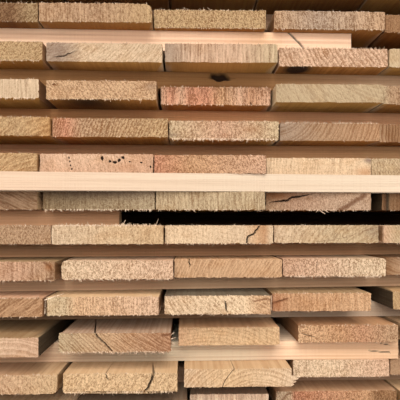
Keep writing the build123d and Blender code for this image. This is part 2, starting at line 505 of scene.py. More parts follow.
# A noise is a sum of waves with rates between these, and the gain brings it to about 1
WAVE_RATES = (0.6, 1.6)
WAVE_GAIN = 1.6


def waves(points, seed, scale, count=7):
    """Smooth noise from about -1 to 1 at points, with features about scale long"""
    rng = np.random.default_rng(seed)
    total = np.zeros(len(points))
    for _ in range(count):
        direction = rng.normal(size=points.shape[1])
        direction /= np.linalg.norm(direction)
        rate = rng.uniform(*WAVE_RATES) * math.tau / scale
        total += np.sin(points @ direction * rate + rng.uniform(0, math.tau))
    return total / count * WAVE_GAIN


def tone_at(tones, spot, shade=1.0):
    """Linear colours at places in mm along tones such as "0 tan, 80 cream", or in one tone"""
    stops = [stop.split() for stop in tones.split(",")]
    places = [float(stop[0]) if len(stop) > 1 else 0 for stop in stops]
    colours = np.array([TONES[stop[-1]] for stop in stops])
    mixed = [np.interp(spot, places, colours[:, part]) for part in range(3)]
    return np.minimum(np.column_stack(mixed) * shade, 1) ** GAMMA


def path_steps(path):
    """The length of each step of a path, and how far along it each point is"""
    steps = np.linalg.norm(np.diff(path, axis=0), axis=1)
    return steps, np.concatenate([[0], np.cumsum(steps)])


def distance_to_path(spots, points):
    """How far each spot is from a path"""
    path = np.array(points, dtype=float)
    steps, _ = path_steps(path)
    best = np.full(len(spots), np.inf)
    for start, stop, step in zip(path, path[1:], steps):
        run = (stop - start) / step
        along = np.clip((spots - start) @ run, 0, step)
        best = np.minimum(best, np.linalg.norm(spots - start - along[:, None] * run, axis=1))
    return best


# Meshes


def link_object(name, data):
    """Puts a mesh, a lamp or a camera into the scene"""
    item = bpy.data.objects.new(name, data)
    bpy.context.scene.collection.objects.link(item)
    return item


END_GRAIN = 0
SAWN_FACE = 1
SMOOTH_ANGLE = math.radians(40)


class Sawn:
    """Collects the mesh of one or more sawn pieces, with the values that their materials read"""

    LAYERS = {name: ("FLOAT_VECTOR", "vector") for name in ("place", "heart", "grain", "cut", "marks")}
    LAYERS |= {"tone": ("FLOAT_COLOR", "color"), "knot": ("FLOAT", "value")}

    def __init__(self):
        self.points = []
        self.rows = {name: [] for name in self.LAYERS}
        self.faces = []
        self.face_materials = []
        self.face_uvs = []
        self.count = 0

    def add_points(self, world, values):
        """Adds points and returns their numbers"""
        first = self.count
        size = len(world)
        self.points.append(world)
        for name, rows in self.rows.items():
            value = np.asarray(values[name], dtype=np.float32)
            every = value.ndim == 2 or len(value) == size
            rows.append(value if every else np.tile(value, (size, 1)))
        self.count += size
        return np.arange(first, self.count)

    def add_faces(self, numbers, faces, material, uv):
        """Adds faces, each a list of places in numbers and in uv"""
        self.faces += [[int(numbers[i]) for i in face] for face in faces]
        self.face_materials += [material] * len(faces)
        self.face_uvs += [[uv[i] for i in face] for face in faces]

    def build(self, name, materials):
        """Makes the object"""
        mesh = bpy.data.meshes.new(name)
        mesh.from_pydata(np.concatenate(self.points).tolist(), [], self.faces)
        for material in materials:
            mesh.materials.append(material)
        mesh.polygons.foreach_set("material_index", self.face_materials)
        for label, (kind, key) in self.LAYERS.items():
            layer = mesh.attributes.new(label, kind, "POINT")
            layer.data.foreach_set(key, np.concatenate(self.rows[label]).ravel())
        uv_layer = mesh.uv_layers.new(name="OFBake")
        flat = [value for corner in self.face_uvs for pair in corner for value in pair]
        uv_layer.data.foreach_set("uv", flat)
        mesh.polygons.foreach_set("use_smooth", [True] * len(mesh.polygons))
        mesh.set_sharp_from_angle(angle=SMOOTH_ANGLE)
        mesh.update()
        return link_object(name, mesh)


# Where the faces lie in a piece's texture: low U, low V, width, height, and if turned

PAD = 0.003
# Low edge and height of the bands of a course, from the boards' sides up to their near ends
SIDES_HIGH = 0.06
BOTTOM_LOW = 0.069
TOP_LOW = 0.432
FACE_HIGH = 0.357
FAR_LOW = 0.795
FAR_HIGH = 0.027
NEAR_LOW = 0.828
NEAR_STEP = 0.056
NEAR_HIGH = 0.051
NEAR_COLUMNS = 3
RIGHT_SIDES = 0.505
SIDE_WIDE = 0.49
# The same for stickers, whose ends are at the bottom
STICK_ENDS = (0.005, 0.04)
STICK_FACES = (0.055, 0.94)
STICK_WIDE = 0.99
ENDS_WIDE = 0.98
# How much of its share a face or an end of a sticker fills
FILLED = 0.8


def board_charts(index):
    """The faces of one of the boards of a course"""
    step = 1 / BOARDS
    left = index * step + PAD
    wide = step - 2 * PAD
    side_high = SIDES_HIGH / BOARDS
    side_low = PAD + index * side_high
    row, column = divmod(index, NEAR_COLUMNS)
    near_left = column / NEAR_COLUMNS + PAD
    near_wide = 1 / NEAR_COLUMNS - 2 * PAD
    return {
        "near": (near_left, NEAR_LOW + row * NEAR_STEP, near_wide, NEAR_HIGH, False),
        "far": (left, FAR_LOW, wide, FAR_HIGH, False),
        "top": (left, TOP_LOW, wide, FACE_HIGH, False),
        "bottom": (left, BOTTOM_LOW, wide, FACE_HIGH, False),
        "left": (PAD, side_low, SIDE_WIDE, side_high - PAD, True),
        "right": (RIGHT_SIDES, side_low, SIDE_WIDE, side_high - PAD, True),
    }


def stick_charts(index, count):
    """The faces of one of count stickers"""
    faces_low, faces_high = STICK_FACES
    ends_low, ends_high = STICK_ENDS
    high = faces_high / count
    part = high / 4
    low = faces_low + index * high
    end_step = ENDS_WIDE / count / 2
    end_left = PAD + index * end_step * 2
    charts = {
        face: (PAD, low + part * number, STICK_WIDE, part * FILLED, True)
        for number, face in enumerate(("left", "right", "top", "bottom"))
    }
    charts["near"] = (end_left, ends_low, end_step * FILLED, ends_high, False)
    charts["far"] = (end_left + end_step, ends_low, end_step * FILLED, ends_high, False)
    return charts


# Sizes in the mesh of a near end: the steps along a crack in mm, and the share of it that tapers
CRACK_STEP = 1.8
CRACK_TAPER = 0.35
# How a crack closes as it runs back along the top face, the share that stays open, and its depth there
CRACK_CLOSING = 0.5
CRACK_SLIT = 0.03
TOP_DEPTH = 0.6
# A part of a crack narrower than this share is only its dark middle line
CRACK_LINE = 0.05
# How fast the painted shade in a crack deepens as it opens
CRACK_DARKENING = 1.6
# How sharply cracks and holes in a long face fade at their sides, and how uneven such holes are
FACE_CRACK_EDGE = 1.4
FACE_HOLE_EDGE = (3.0, 2.6)
FACE_HOLE_WAVES = (0.25, 14)
HOLE_POINTS = 10
HOLE_WOBBLE = 0.15
HOLE_EDGE = 0.4 * MM
# The rings of a hole: their share of its size, and if they are in it
HOLE_RINGS = ((1.0, 0), (0.72, 1), (0.3, 1))
# How far, in cells, the loose points move at random
LOOSE = 0.3
CRACK_WOBBLE = 0.25 * MM
# How near to an edge, in mm, a crack has to end to be open there
CRACK_AT_EDGE = (0.3, 0.5)
# How far the other points keep off a crack, inside the end and along its edges
CRACK_ROOM = 0.6 * MM
EDGE_ROOM = 0.5 * MM
# Unevenness: how high, and over what length it rises and falls, both in metres
END_SWELL = (0.5 * MM, 0.06)
END_ROUGH = (0.12 * MM, 0.006)
SIDEWAYS = (0.4 * MM, 0.03)
UPRIGHT = (0.35 * MM, 0.02)
INSET = 0.25 * MM
INSET_CHANGE = (0.2 * MM, 0.05)
CORNER_INSET = 0.35 * MM
FAR_ROUGH = 0.15 * MM
# How rough a clean edge is, and how much rougher a torn one, in mm
TORN_BASE = 0.2
TORN_GAIN = 0.45
# How unevenly a corner breaks off, as a share, and over what length in metres
CHIP_WAVES = (0.3, 0.006)
# How far the torn edges, the grey and warm patches and the streaks reach back from an end, in metres
TORN_REACH = 0.008
PATCH_REACH = 0.12
STREAK_REACH = 0.05
# Each piece is cut from another part of the grain, in metres along it
GRAIN_STEP = 0.377
GRAIN_RANGE = 3
# Rings of points behind the near end, and the step to further ones, in mm
FIRST_RINGS = [1.5, 4, 9]
RING_STEP = 12
# How far back those go at least, plainly and where the underside is stained, in mm
PLAIN_REACH = 4
STAINED_REACH = 60
# How far the rings of the long faces keep off those, and the last ones before the far end, in metres
RING_ROOM = 0.008
LAST_RINGS = (0.010, 0.003)
# How far beside a crack that leans the wood of the top face moves along with it
DRIFT_REACH = 30 * MM
# Torn fibres: how many for each mm of edge, and how far their feet are inside the wood and from the corners
FIBRES_PER_MM = 0.8
FIBRE_FOOT = 0.6 * MM
FIBRE_MARGIN = 0.003
# The spread of their lengths, with the shape and the scale in mm of a gamma distribution
FIBRE_LENGTH = (3.0, 0.40)
# How far their tips lean to the side, for each length
FIBRE_LEAN = 0.6
# Their length and greatest width: the least, what tearing adds, and up to how much tearing it does
FIBRE_GROWTH = (0.7, 0.6, 1.3)
FIBRE_WIDTH = (1.0, 0.4, 1.5)
# Their least width, in mm
FIBRE_THIN = 0.5
# The foot stands this far off the end, with a point this deep in the wood
SPIKE_ROOT = 0.1 * MM
SPIKE_KEEL = 0.8 * MM
# The tip narrows to this share, and stands off the end by between these, in mm
SPIKE_TIP = 0.35
SPIKE_OUT = (0.2, 0.8)
# The faces of a pointed fibre, from two points at its foot, one inside the wood and two at its tip
SPIKE_FACES = [(0, 1, 4, 3), (1, 2, 4), (2, 3, 4), (2, 0, 3), (0, 2, 1)]


class EndPlan:
    """The points of a near end, before they are joined by triangles

    Each has its darkness, how much it is knot, and how far it is pushed in.
    """

    def __init__(self, border):
        self.spots = [(float(x), float(z)) for x, z in border]
        self.border = len(border)
        self.marks = [(0.0, 0.0, 0.0)] * self.border
        self.edges = [(i, (i + 1) % self.border) for i in range(self.border)]
        # Middles and reaches that the loose points keep off
        self.keep_off = []

    def add(self, x, z, dark=0.0, knot=0.0, depth=0.0):
        """Adds a point and returns its number"""
        self.spots.append((float(x), float(z)))
        self.marks.append((dark, knot, depth))
        return len(self.spots) - 1

    def on_border(self, x, z):
        """The number of the border point at a place"""
        gaps = [abs(px - x) + abs(pz - z) for px, pz in self.spots[:self.border]]
        return int(np.argmin(gaps))

    def add_crack(self, crack, height, middle, opening, half):
        """Three lines along a crack: its sides, and its dark bottom between them"""
        lines = {-1: [], 0: [], 1: []}
        along = np.gradient(middle, axis=0)
        along /= np.linalg.norm(along, axis=1)[:, None]
        across = np.column_stack([along[:, 1], -along[:, 0]])
        # The middle line is painted dark, as the shade in the crack
        for place, side, share, reach in zip(middle, across, opening, half):
            open_edge = place[1] in (0, height) and share == 1
            for line in lines:
                if open_edge:
                    number = self.on_border(place[0] + line * reach, place[1])
                    if line == 0:
                        self.marks[number] = (crack.dark, 0.0, crack.depth * MM)
                elif line == 0:
                    dark = min(1, share * CRACK_DARKENING) * crack.dark
                    number = self.add(*place, dark, 0, crack.depth * share * MM)
                elif share > CRACK_LINE:
                    number = self.add(*(place + side * line * reach))
                else:
                    continue
                lines[line].append(number)
        for line in lines.values():
            self.edges += list(zip(line, line[1:]))
        self.keep_off.append((middle, half + CRACK_ROOM))

    def add_hole(self, hole, wobble, width, height):
        """Rings round a hole or a knot: its edge, and its bottom"""
        turn = np.linspace(0, math.tau, len(wobble), endpoint=False)
        for size, level in HOLE_RINGS:
            ring = []
            for angle, uneven in zip(turn, wobble):
                x = (hole.x + hole.wide * size * uneven * math.cos(angle)) * MM
                z = (hole.z + hole.high * size * uneven * math.sin(angle)) * MM
                x = np.clip(x, HOLE_EDGE, width - HOLE_EDGE)
                z = np.clip(z, HOLE_EDGE, height - HOLE_EDGE)
                # A hole's bottom is painted dark as shade; a knot's is darker wood
                dark, knot = (0.0, level) if hole.knot else (level, 0.0)
                ring.append(self.add(x, z, dark, knot, level * hole.depth * MM))
            self.edges += list(zip(ring, ring[1:] + ring[:1]))
        middle = np.array([[hole.x * MM, hole.z * MM]])
        self.keep_off.append((middle, np.array([max(hole.wide, hole.high) * MM])))


class Timber:
    """One sawn piece, inside the outline that its solid gives it

    Its own X goes across, Y along and Z up, all in metres from its near, left, lower corner.
    """

    def __init__(self, sawn, outline, charts, look, seed, along_tones=False):
        self.sawn = sawn
        self.corners, self.low, high = outline
        self.charts = charts
        self.look = look
        self.seed = seed
        self.along_tones = along_tones
        # Whether the left and the right side face another piece
        self.inner = (True, True)
        self.width = float(np.linalg.norm(self.corners[1] - self.corners[0]))
        self.length = float(np.linalg.norm(self.corners[3] - self.corners[0]))
        self.height = float(high - self.low)
        self.rng = np.random.default_rng(seed)
        self.cells = 14
        self.side_rows = 3

    def to_world(self, local):
        near_left, near_right, far_right, far_left = self.corners
        across = (local[:, 0] / self.width)[:, None]
        along = (local[:, 1] / self.length)[:, None]
        near = near_left * (1 - across) + near_right * across
        far = far_left * (1 - across) + far_right * across
        plan = near * (1 - along) + far * along
        return np.column_stack([plan, self.low + local[:, 2]])

    def sides_at(self, place):
        """Which places are on the lower, upper, left and right side"""
        low = place[:, 2] < SKIN
        high = place[:, 2] > self.height - SKIN
        left = place[:, 0] < SKIN
        right = place[:, 0] > self.width - SKIN
        return low, high, left, right

    def values(self, place, dark, knot, pale):
        """What the materials read at these places"""
        look = self.look
        lean = math.radians(look.lean)
        heart_x, heart_z = (part * MM for part in look.heart)
        tone = self.own_colour(place)
        tone = tone * (1 - pale) + tone_at("milk", place[:, 0]) * pale
        fade = np.exp(-place[:, 1] / PATCH_REACH)
        greys = self.patch_strength(place, look.greys, 2) * fade
        warms = self.patch_strength(place, look.warms, 2) * fade
        return {
            "place": place + np.array([0, self.seed * GRAIN_STEP % GRAIN_RANGE, 0]),
            "heart": (self.width / 2 + heart_x, self.height / 2 + heart_z, look.ring * MM),
            "grain": (look.rings, look.speckle, look.worn),
            "cut": (math.cos(lean), math.sin(lean), look.saw),
            "marks": np.column_stack([dark, greys, warms]),
            "tone": np.column_stack([tone, np.ones(len(tone))]),
            "knot": knot,
        }

    def own_colour(self, place):
        """The wood's own colour"""
        look = self.look
        low, high, left, right = self.sides_at(place)
        behind = place[:, 1] > SKIN
        spot = place[:, 1 if self.along_tones else 0] / MM
        tone = tone_at(look.tones, spot, look.shade)
        if look.top:
            picked = high & behind
            tone[picked] = tone_at(look.top, spot[picked])
        # A side tone paints the light and shade in the gaps beside the board
        if look.side:
            picked = (left | right) & behind
            tone[picked] = tone_at(look.side, spot[picked])
        elif not self.along_tones:
            # Painted shade on the sides in the gaps between boards, unless the look gives a side tone
            gap_shade = (left & self.inner[0]) | (right & self.inner[1])
            tone[gap_shade & ~low & ~high & (place[:, 1] > GAP_SHADE_START)] *= GAP_SHADE_TINT
        if not self.along_tones:
            # Painted shade on the undersides of the boards
            tone[low & behind & ~left & ~right] *= UNDER_SHADE_TINT
        return tone

    @staticmethod
    def patch_strength(place, patches, axis):
        """Strength of round patches over X and another axis: stain, and on a few pieces painted shade"""
        total = np.zeros(len(place))
        for patch in patches:
            gap_x = (place[:, 0] / MM - patch.x) / patch.wide
            gap_z = (place[:, axis] / MM - patch.z) / patch.high
            total = np.maximum(total, patch.strength * np.exp(-gap_x**2 - gap_z**2))
        return total

    def streak_strength(self, place):
        """Strength of the streaks beside knots, which fade back from the end"""
        total = np.zeros(len(place))
        for streak in self.look.streaks:
            gap = distance_to_path(place[:, [0, 2]] / MM, streak.points)
            total = np.maximum(total, streak.strength * np.exp(-((gap / streak.wide) ** 2)))
        return total * np.exp(-place[:, 1] / STREAK_REACH)

    def add(self, place, shift, dark=0.0, knot=0.0, pale=0.0):
        """Adds points at their places, moved by shift"""
        low, _, _, right = self.sides_at(place)
        # Dark patches on the underside: stains, and the painted shade under the top course
        under = self.patch_strength(place, self.look.under, 1) * (low & (place[:, 1] > SKIN))
        shift = shift.copy()
        dark = np.maximum(np.maximum(dark, under), self.face_features(place, right, shift))
        knot = np.maximum(knot, self.streak_strength(place))
        return self.sawn.add_points(self.to_world(place + shift), self.values(place, dark, knot, pale))

    def face_features(self, place, on_face, shift):
        """Cracks and holes in the long face to the right: their darkness, which paints the shade in them,
        pushed in through shift
        """
        dark = np.zeros(len(place))
        spots = place[:, 1:] / MM
        for crack in self.look.face_cracks:
            gap = distance_to_path(spots, crack.points) / (crack.width / 2)
            mark = np.clip(FACE_CRACK_EDGE - gap, 0, 1) * on_face
            shift[:, 0] -= mark * crack.depth * MM
            dark = np.maximum(dark, mark)
        high, long = FACE_HOLE_WAVES
        edge, slope = FACE_HOLE_EDGE
        for hole in self.look.face_holes:
            uneven = 1 + high * waves(spots, self.seed + 3, long)
            gap = np.hypot((spots[:, 0] - hole.x) / hole.wide, (spots[:, 1] - hole.z) / hole.high) * uneven
            mark = np.clip(edge - slope * gap, 0, 1) * on_face
            shift[:, 0] -= mark * hole.depth * MM
            dark = np.maximum(dark, mark)
        return dark

    def uv(self, face, place):
        low_u, low_v, wide, high, turned = self.charts[face]
        upright = place[:, 2] / self.height
        across = upright if face in ("left", "right") else place[:, 0] / self.width
        along = upright if face in ("near", "far") else place[:, 1] / self.length
        first, second = (along, across) if turned else (across, along)
        return np.column_stack([low_u + wide * np.clip(first, 0, 1), low_v + high * np.clip(second, 0, 1)])

    def surface(self, place):
        """Uneven long faces, torn edges and broken corners: how places on the surface move"""
        look = self.look
        low, high, left, right = self.sides_at(place)
        from_end = np.minimum(place[:, 1], self.length - place[:, 1])
        fade = np.exp(-from_end / TORN_REACH)
        torn = TORN_BASE + TORN_GAIN * np.where(high, look.torn_high, look.torn_low)
        rough = self.rng.normal(size=(len(place), 2)) * torn[:, None] * MM
        # Waves run further along the piece than across it
        steps = place * [1, 0.3, 1]
        shift = np.zeros_like(place)
        sideways = waves(steps, self.seed + 11, SIDEWAYS[1]) * SIDEWAYS[0] + rough[:, 0] * 0.6
        upright = waves(steps, self.seed + 12, UPRIGHT[1]) * UPRIGHT[0] + rough[:, 1]
        shift[:, 0] = np.where(left | right, sideways * fade, 0)
        shift[:, 2] = np.where(low | high, upright * fade, 0)
        # The long faces stay just inside the outline, so that neighbours never meet
        inset = INSET + INSET_CHANGE[0] * waves(place * [1, 0.05, 1], self.seed + 13, INSET_CHANGE[1])
        shift[:, 0] += inset * (left * 1.0 - right)
        corner = (left | right) & (low | high)
        shift[:, 2] += CORNER_INSET * corner * (low * 1.0 - high)
        for chip in look.chips:
            wide, tall = chip.wide * MM, chip.high * MM
            from_side = self.width - place[:, 0] if chip.right else place[:, 0]
            from_level = self.height - place[:, 2] if chip.top else place[:, 2]
            reach = np.clip(from_side / wide + from_level / tall, 0, 2)
            amount = (1 - reach / 2) / 2 * np.clip(1 - place[:, 1] / (chip.run * MM), 0, 1) ** 0.7
            amount *= 1 + CHIP_WAVES[0] * waves(place, self.seed + 14, CHIP_WAVES[1])
            shift[:, 0] += amount * wide * (-1 if chip.right else 1)
            shift[:, 2] += amount * tall * (-1 if chip.top else 1)
        return shift

    # The near end: rough, with cracks, holes and knots cut into its triangles

    def crack_lines(self, crack):
        """Middle, opening and half width of a crack at steps from its lower to its upper end"""
        points = np.array(sorted(crack.points, key=lambda point: point[1]), dtype=float)
        _, reached = path_steps(points)
        count = max(4, round(reached[-1] / CRACK_STEP))
        at = np.linspace(0, reached[-1], count + 1)
        middle = np.column_stack([np.interp(at, reached, points[:, part]) for part in (0, 1)]) * MM
        middle[1:-1] += self.rng.normal(size=(count - 1, 2)) * CRACK_WOBBLE
        middle[:, 1] = np.clip(middle[:, 1], 0, self.height)
        opening = np.ones(count + 1)
        # A crack that reaches an edge opens there, and otherwise it tapers off
        near_low, near_high = CRACK_AT_EDGE
        if points[0, 1] <= near_low:
            middle[0, 1] = 0
        else:
            opening = np.minimum(opening, at / reached[-1] / CRACK_TAPER)
        if points[-1, 1] >= self.height / MM - near_high:
            middle[-1, 1] = self.height
        else:
            opening = np.minimum(opening, (1 - at / reached[-1]) / CRACK_TAPER)
        return middle, opening, opening * crack.width * MM / 2

    def edge_row(self, cell, cuts):
        """X places along the lower or upper edge, with three at each crack that opens there"""
        count = max(3, round(self.width / cell))
        row = [
            (x, None, 0)
            for x in np.linspace(0, self.width, count + 1)
            if all(abs(x - middle) > half + EDGE_ROOM for _, middle, half in cuts)
        ]
        for crack, middle, half in cuts:
            row += [(middle - half, crack, -1), (middle, crack, 0), (middle + half, crack, 1)]
        return sorted(row, key=lambda item: item[0])

    def near_end(self, cell):
        """Makes the near end and returns its lower row, its heights, its upper row and its sides"""
        cracks = [(crack, *self.crack_lines(crack)) for crack in self.look.cracks]
        cuts = {0: [], -1: []}
        for crack, middle, opening, half in cracks:
            for end in cuts:
                if opening[end] == 1 and middle[end, 1] in (0, self.height):
                    cuts[end].append((crack, middle[end, 0], half[end]))
        bottom = self.edge_row(cell, cuts[0])
        top = self.edge_row(cell, cuts[-1])
        heights = np.linspace(0, self.height, max(4, round(self.height / cell)) + 1)
        border = [(x, 0.0) for x, _, _ in bottom]
        border += [(self.width, z) for z in heights[1:-1]]
        border += [(x, self.height) for x, _, _ in reversed(top)]
        border += [(0.0, z) for z in reversed(heights[1:-1])]
        plan = EndPlan(border)
        for crack, *lines in cracks:
            plan.add_crack(crack, self.height, *lines)
        for hole in self.look.holes:
            wobble = 1 + HOLE_WOBBLE * self.rng.normal(size=HOLE_POINTS)
            plan.add_hole(hole, wobble, self.width, self.height)
        for x, z in self.loose_points(cell, plan.keep_off):
            plan.add(x, z)
        start = self.cap(plan, len(bottom), len(heights) - 2, len(top))
        return bottom, heights, top, start

    def loose_points(self, cell, keep_off):
        """Uneven points all over the end, away from cracks and holes"""
        rows = [np.arange(cell, size - cell / 2, cell) for size in (self.width, self.height)]
        grid_x, grid_z = np.meshgrid(*rows)
        inner = np.column_stack([grid_x.ravel(), grid_z.ravel()])
        inner += self.rng.uniform(-LOOSE, LOOSE, size=inner.shape) * cell
        for middle, reach in keep_off:
            gap = np.linalg.norm(inner[:, None] - middle[None], axis=2)
            inner = inner[(gap > reach[None]).all(axis=1)]
        return inner

    def cap(self, plan, count_low, count_side, count_top):
        """Triangles through all the points of the near end"""
        spots = [Vector(spot) for spot in plan.spots]
        verts, _, faces, origins, _, _ = delaunay_2d_cdt(spots, plan.edges, [], 0, 1e-7)
        spots = np.array([tuple(vert) for vert in verts])
        number_of = {source: number for number, origin in enumerate(origins) for source in origin}
        marks = [plan.marks[origin[0]] if origin else (0.0, 0.0, 0.0) for origin in origins]
        dark, knot, depth = np.array(marks).T
        place = np.column_stack([spots[:, 0], np.zeros(len(spots)), spots[:, 1]])
        shift = self.surface(place)
        rough = self.look.speckle * END_ROUGH[0]
        shift[:, 1] += waves(spots, self.seed + 1, END_SWELL[1]) * END_SWELL[0] + depth
        shift[:, 1] += waves(spots, self.seed + 2, END_ROUGH[1]) * rough
        shift[:, 1] += self.rng.normal(size=len(spots)) * rough * 0.6
        numbers = self.add(place, shift, dark, knot)
        self.sawn.add_faces(numbers, faces, END_GRAIN, self.uv("near", place))
        # The points round the end, side by side, start the long faces
        order = [number_of[i] for i in range(plan.border)]
        return self.sides(numbers[order], place[order], count_low, count_side, count_top)

    @staticmethod
    def sides(numbers, place, count_low, count_side, count_top):
        """The four sides of a ring of points that starts at the lower left"""
        first_top = count_low + count_side
        after_top = first_top + count_top
        picks = {
            "bottom": np.arange(count_low),
            "right": np.arange(count_low - 1, first_top + 1),
            "top": np.arange(first_top, after_top),
            "left": np.append(np.arange(after_top - 1, len(numbers)), 0),
        }
        return {side: (numbers[pick], place[pick]) for side, pick in picks.items()}

    def ring(self, distance, bottom, heights, top, top_dark=0.0, top_depth=0.0):
        """Adds a ring of points round the piece, a distance along it"""
        inner = heights[1:-1]
        first_top = len(bottom) + len(inner)
        upper = slice(first_top, first_top + len(top))
        xs = np.concatenate([bottom, np.full(len(inner), self.width), top[::-1], np.zeros(len(inner))])
        zs = np.concatenate([np.zeros(len(bottom)), inner, np.full(len(top), self.height), inner[::-1]])
        place = np.column_stack([xs, np.full(len(xs), distance), zs])
        shift = self.surface(place)
        dark = np.zeros(len(xs))
        dark[upper] = np.flip(top_dark)
        shift[upper, 2] -= np.flip(top_depth)
        numbers = self.add(place, shift, dark)
        return self.sides(numbers, place, len(bottom), len(inner), len(top))

    def band(self, near, far):
        """The faces between two rings, whose sides may have different counts of points"""
        for side, (near_numbers, near_place) in near.items():
            far_numbers, far_place = far[side]
            count = len(near_numbers)
            last_i, last_j = count - 1, len(far_numbers) - 1
            near_share, far_share = (
                np.linalg.norm((place - place[0])[:, [0, 2]], axis=1) for place in (near_place, far_place)
            )
            faces = []
            i = j = 0
            while i < last_i or j < last_j:
                if last_i == last_j:
                    faces.append([i, count + j, count + j + 1, i + 1])
                    i, j = i + 1, j + 1
                elif j == last_j or (i < last_i and near_share[i + 1] <= far_share[j + 1]):
                    faces.append([i, count + j, i + 1])
                    i += 1
                else:
                    faces.append([i, count + j, count + j + 1])
                    j += 1
            numbers = np.concatenate([near_numbers, far_numbers])
            uv = self.uv(side, np.concatenate([near_place, far_place]))
            self.sawn.add_faces(numbers, faces, SAWN_FACE, uv)

    def long_faces(self, ring, bottom, heights, top, stations):
        """The long faces, from the near end to just before the far end"""
        low_x = np.array([x for x, _, _ in bottom])
        open_cracks = [(x, crack) for x, crack, part in top if crack and part == 0]
        least = STAINED_REACH if self.look.under else PLAIN_REACH
        deepest = max([crack.run for _, crack in open_cracks] + [least])
        distances = FIRST_RINGS + list(np.arange(FIRST_RINGS[-1] + RING_STEP, deepest + RING_STEP, RING_STEP))
        for distance in distances:
            points = [self.top_point(item, distance, open_cracks) for item in top]
            following = self.ring(distance * MM, low_x, heights, *np.array(points).T)
            self.band(ring, following)
            ring = following
        for station in stations:
            if station > distances[-1] * MM + RING_ROOM:
                ring = self.plain_band(ring, station, self.cells, self.side_rows)
        return ring

    def top_point(self, item, distance, open_cracks):
        """X, darkness and depth of a point of the top face, where cracks close as they run back; the darkness
        paints the shade in the crack
        """
        x, crack, part = item
        moved = x
        # A crack that leans as it runs back takes the wood beside it along
        for middle, leaning in open_cracks:
            near = max(0.0, 1 - abs(x - middle) / DRIFT_REACH)
            moved += leaning.drift * MM * min(distance / leaning.run, 1) * near
        if not crack:
            return moved, 0, 0
        share = max(0.0, 1 - distance / crack.run)
        opening = share**CRACK_CLOSING
        moved += part * crack.width * MM / 2 * (max(opening, CRACK_SLIT) - 1)
        if part:
            return moved, 0, 0
        return moved, opening * crack.dark, crack.depth * TOP_DEPTH * share * MM

    def plain_band(self, ring, distance, cells, rows):
        across = np.linspace(0, self.width, cells + 1)
        following = self.ring(distance, across, np.linspace(0, self.height, rows + 1), across)
        self.band(ring, following)
        return following

    def far_end(self, ring, cells, rows):
        """The end away from the camera"""
        for inset in LAST_RINGS:
            ring = self.plain_band(ring, self.length - inset, cells, rows)
        xs, zs = np.meshgrid(np.linspace(0, self.width, cells + 1), np.linspace(0, self.height, rows + 1))
        place = np.column_stack([xs.ravel(), np.full(xs.size, self.length), zs.ravel()])
        shift = self.surface(place)
        shift[:, 1] += self.rng.normal(size=len(place)) * FAR_ROUGH
        numbers = self.add(place, shift)
        grid = np.arange(xs.size).reshape(xs.shape)
        quads = np.stack([grid[:-1, :-1], grid[1:, :-1], grid[1:, 1:], grid[:-1, 1:]], axis=-1)
        self.sawn.add_faces(numbers, quads.reshape(-1, 4), END_GRAIN, self.uv("far", place))
        order = np.concatenate([grid[0], grid[1:-1, -1], grid[-1, ::-1], grid[-2:0:-1, 0]])
        self.band(ring, self.sides(numbers[order], place[order], cells + 1, rows - 1, cells + 1))

    def spike(self, foot, tip, wide, pale=0.6):
        """A thin pointed fibre, all in metres in the end's plane"""
        foot, tip = np.array(foot), np.array(tip)
        along = (tip - foot) / max(np.linalg.norm(tip - foot), 1e-6)
        side = np.array([-along[1], along[0]]) * wide / 2
        out = self.rng.uniform(*SPIKE_OUT) * MM
        local = np.array([
            [*(foot + side), -SPIKE_ROOT],
            [*(foot - side), -SPIKE_ROOT],
            [*foot, SPIKE_KEEL],
            [*(tip + side * SPIKE_TIP), -out],
            [*(tip - side * SPIKE_TIP), -out],
        ])[:, [0, 2, 1]]
        numbers = self.add(local, np.zeros_like(local), pale=pale)
        self.sawn.add_faces(numbers, SPIKE_FACES, END_GRAIN, self.uv("near", local))

    @staticmethod
    def growth(torn, least, gain, most):
        """How a size grows the more an edge is torn"""
        return least + gain * min(torn, most)

    def fibres(self):
        """Torn fibres along the edges of the near end, and the long ones that the look names"""
        look = self.look
        for torn, z, up in ((look.torn_low, 0.0, -1), (look.torn_high, self.height, 1)):
            for _ in range(int(torn * self.width / MM * FIBRES_PER_MM)):
                length = self.rng.gamma(*FIBRE_LENGTH) * MM * self.growth(torn, *FIBRE_GROWTH)
                x = self.rng.uniform(FIBRE_MARGIN, self.width - FIBRE_MARGIN)
                foot = (x, z - up * FIBRE_FOOT)
                tip = (x + self.rng.normal() * FIBRE_LEAN * length, z + up * length)
                wide = self.rng.uniform(FIBRE_THIN, self.growth(torn, *FIBRE_WIDTH)) * MM
                self.spike(foot, tip, wide)
        for sliver in look.slivers:
            foot = (sliver.x * MM, sliver.z * MM)
            tip = ((sliver.x + sliver.reach_x) * MM, (sliver.z + sliver.reach_z) * MM)
            self.spike(foot, tip, sliver.wide * MM, sliver.pale)

    def build(self, cell, stations, far_cells, far_rows):
        bottom, heights, top, start = self.near_end(cell)
        ring = self.long_faces(start, bottom, heights, top, stations)
        self.far_end(ring, far_cells, far_rows)
        self.fibres()


# Materials. Tints multiply a tone in linear light, and scales run along X, Y and Z, per metre

# Grey patches: stains, and on course 9 painted shadow
GREY_TINT = (0.36, 0.30, 0.34)
WARM_TINT = (0.72, 0.46, 0.28)
STREAK_TINT = (0.32, 0.17, 0.09)
KNOT_TINT = (0.55, 0.34, 0.20)
# Near black for the painted shade in cracks, holes and under the top course, and for dark stains
SHADE_AND_STAIN_COLOUR = (0.030, 0.012, 0.006, 1.0)
